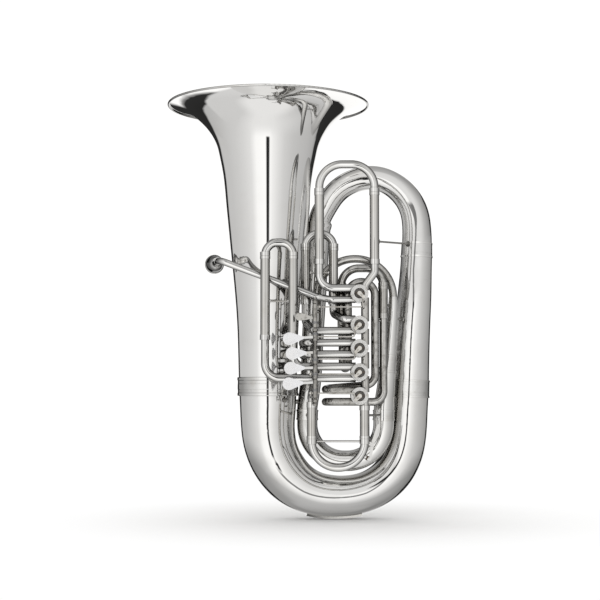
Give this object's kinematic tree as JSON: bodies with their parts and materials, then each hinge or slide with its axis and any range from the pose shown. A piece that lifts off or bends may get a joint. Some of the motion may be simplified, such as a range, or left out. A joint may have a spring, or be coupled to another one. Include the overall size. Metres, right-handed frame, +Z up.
{
  "type": "tuba",
  "caption": "Upright concert tuba in bright silver plate: wide flared bell, conical bows, rotary valves worked by finger paddles, and pull-out tuning slides.",
  "frame": {"origin": "under the middle of the instrument: half way across from the bell rim to the outer branch, on the bell axis from front to back, level with the lowest point of the bottom bow guard strip", "axes": "+Z up along the bell axis to the bell rim, +X from the bell towards the outer branch, +Y towards the player, -Y towards the finger paddles"},
  "size_m": [0.6002, 0.4556, 0.9315],
  "materials": {
    "silver_body": "mirror bright silver plate on brass",
    "silver_tube": "bright silver plate on brass",
    "satin_silver": "fine satin silver plate",
    "nickel": "polished nickel silver",
    "bare_brass": "machined brass",
    "steel": "ground steel",
    "cork": "natural cork"
  },
  "bodies": {
    "horn": {"back_caps": "silver_tube", "bell": "silver_body", "bell_ferrule": "silver_tube", "bell_rim_wire": "silver_tube", "bottom_bow": "silver_body", "bottom_bow_guard": "silver_tube", "branch_ferrules": "silver_tube", "first_slide_receiver": "silver_tube", "fourth_valve_branch": "silver_tube", "front_rings": "silver_tube", "inner_arch": "silver_tube", "inner_bottom_bow": "silver_tube", "inner_branch": "silver_tube", "leadpipe": "silver_tube", "left_branch": "silver_tube", "lever_axle": "steel", "lever_frame": "nickel", "main_slide_receiver": "silver_tube", "mouthpiece_receiver": "silver_tube", "rear_bearings": "bare_brass", "return_springs": "steel", "right_branch": "silver_body", "second_slide_receiver": "silver_tube", "stays": "silver_tube", "stop_corks": "cork", "strap_rings": "silver_tube", "third_slide_receiver": "silver_tube", "thumb_slide_receiver": "silver_tube", "top_bow": "silver_body", "valve_casings": "silver_tube", "valve_knuckles": "silver_tube"},
    "thumb_valve": {"thumb_rotor": "bare_brass", "thumb_stop_arm": "nickel"},
    "thumb_link": {"thumb_rod": "nickel"},
    "thumb_key": {"thumb_lever": "satin_silver"},
    "first_valve": {"first_rotor": "bare_brass", "first_stop_arm": "nickel"},
    "first_link": {"first_rod": "nickel"},
    "first_key": {"first_lever": "satin_silver"},
    "second_valve": {"second_rotor": "bare_brass", "second_stop_arm": "nickel"},
    "second_link": {"second_rod": "nickel"},
    "second_key": {"second_lever": "satin_silver"},
    "third_valve": {"third_rotor": "bare_brass", "third_stop_arm": "nickel"},
    "third_link": {"third_rod": "nickel"},
    "third_key": {"third_lever": "satin_silver"},
    "fourth_valve": {"fourth_rotor": "bare_brass", "fourth_stop_arm": "nickel"},
    "fourth_link": {"fourth_rod": "nickel"},
    "fourth_key": {"fourth_lever": "satin_silver"},
    "thumb_slide_body": {"thumb_slide": "silver_tube"},
    "first_slide_body": {"first_slide": "silver_tube"},
    "second_slide_body": {"second_slide": "silver_tube"},
    "third_slide_body": {"third_slide": "silver_tube"},
    "fourth_slide_body": {"fourth_slide": "silver_tube"},
    "main_slide_body": {"main_slide": "silver_tube"},
    "mouthpiece_body": {"mouthpiece": "silver_tube"},
    "drain": {"water_key": "silver_tube", "water_key_cork": "cork"}
  },
  "joints": [
    {"name": "thumb_rotor_turn", "type": "hinge", "parent": "horn", "child": "thumb_valve", "pos_m": [0.12773, -0.111, 0.49451], "axis": [0, 1, 0], "range_deg": [0, 90]},
    {"name": "thumb_link_turn", "type": "hinge", "parent": "thumb_valve", "child": "thumb_link", "pos_m": [0.13621, -0.1417, 0.48602], "axis": [0, 1, 0], "range_deg": [-90, 0]},
    {"name": "thumb_key_press", "type": "hinge", "parent": "horn", "child": "thumb_key", "pos_m": [0.03173, -0.169, 0.49451], "axis": [0, 0, 1], "range_deg": [0, 36]},
    {"name": "first_rotor_turn", "type": "hinge", "parent": "horn", "child": "first_valve", "pos_m": [0.12773, -0.111, 0.42661], "axis": [0, -1, 0], "range_deg": [0, 90]},
    {"name": "first_link_turn", "type": "hinge", "parent": "first_valve", "child": "first_link", "pos_m": [0.11924, -0.1417, 0.41812], "axis": [0, -1, 0], "range_deg": [-90, 0]},
    {"name": "first_key_press", "type": "hinge", "parent": "horn", "child": "first_key", "pos_m": [0.03173, -0.169, 0.42661], "axis": [0, 0, -1], "range_deg": [0, 36]},
    {"name": "second_rotor_turn", "type": "hinge", "parent": "horn", "child": "second_valve", "pos_m": [0.12773, -0.111, 0.37601], "axis": [0, -1, 0], "range_deg": [0, 90]},
    {"name": "second_link_turn", "type": "hinge", "parent": "second_valve", "child": "second_link", "pos_m": [0.11924, -0.1417, 0.36752], "axis": [0, -1, 0], "range_deg": [-90, 0]},
    {"name": "second_key_press", "type": "hinge", "parent": "horn", "child": "second_key", "pos_m": [0.03173, -0.169, 0.37601], "axis": [0, 0, -1], "range_deg": [0, 36]},
    {"name": "third_rotor_turn", "type": "hinge", "parent": "horn", "child": "third_valve", "pos_m": [0.12773, -0.111, 0.32431], "axis": [0, -1, 0], "range_deg": [0, 90]},
    {"name": "third_link_turn", "type": "hinge", "parent": "third_valve", "child": "third_link", "pos_m": [0.11924, -0.1417, 0.31582], "axis": [0, -1, 0], "range_deg": [-90, 0]},
    {"name": "third_key_press", "type": "hinge", "parent": "horn", "child": "third_key", "pos_m": [0.03173, -0.169, 0.32431], "axis": [0, 0, -1], "range_deg": [0, 36]},
    {"name": "fourth_rotor_turn", "type": "hinge", "parent": "horn", "child": "fourth_valve", "pos_m": [0.12773, -0.111, 0.27321], "axis": [0, -1, 0], "range_deg": [0, 90]},
    {"name": "fourth_link_turn", "type": "hinge", "parent": "fourth_valve", "child": "fourth_link", "pos_m": [0.11924, -0.1417, 0.26472], "axis": [0, -1, 0], "range_deg": [-90, 0]},
    {"name": "fourth_key_press", "type": "hinge", "parent": "horn", "child": "fourth_key", "pos_m": [0.03173, -0.169, 0.27321], "axis": [0, 0, -1], "range_deg": [0, 36]},
    {"name": "thumb_slide_pull", "type": "slide", "parent": "horn", "child": "thumb_slide_body", "axis": [0, 0, 1], "range_m": [0, 0.08]},
    {"name": "first_slide_pull", "type": "slide", "parent": "horn", "child": "first_slide_body", "axis": [0, 0, 1], "range_m": [0, 0.07]},
    {"name": "second_slide_pull", "type": "slide", "parent": "horn", "child": "second_slide_body", "axis": [0, 1, 0], "range_m": [0, 0.015]},
    {"name": "third_slide_pull", "type": "slide", "parent": "horn", "child": "third_slide_body", "axis": [0, 0, 1], "range_m": [0, 0.12]},
    {"name": "fourth_slide_pull", "type": "slide", "parent": "horn", "child": "fourth_slide_body", "axis": [0, 0, 1], "range_m": [0, 0.035]},
    {"name": "main_slide_pull", "type": "slide", "parent": "horn", "child": "main_slide_body", "axis": [0, 0, -1], "range_m": [0, 0.05]},
    {"name": "mouthpiece_draw", "type": "slide", "parent": "horn", "child": "mouthpiece_body", "axis": [-0.1676, 0.9859, 0], "range_m": [0, 0.018]},
    {"name": "water_key_open", "type": "hinge", "parent": "main_slide_body", "child": "drain", "pos_m": [0.15573, -0.111, 0.16831], "axis": [0, -1, 0], "range_deg": [0, 15]}
  ],
  "couplings": [
    {"joint": "thumb_link_turn", "follows": "thumb_rotor_turn", "ratio": -1},
    {"joint": "thumb_key_press", "follows": "thumb_rotor_turn", "ratio": 0.4},
    {"joint": "first_link_turn", "follows": "first_rotor_turn", "ratio": -1},
    {"joint": "first_key_press", "follows": "first_rotor_turn", "ratio": 0.4},
    {"joint": "second_link_turn", "follows": "second_rotor_turn", "ratio": -1},
    {"joint": "second_key_press", "follows": "second_rotor_turn", "ratio": 0.4},
    {"joint": "third_link_turn", "follows": "third_rotor_turn", "ratio": -1},
    {"joint": "third_key_press", "follows": "third_rotor_turn", "ratio": 0.4},
    {"joint": "fourth_link_turn", "follows": "fourth_rotor_turn", "ratio": -1},
    {"joint": "fourth_key_press", "follows": "fourth_rotor_turn", "ratio": 0.4}
  ]
}
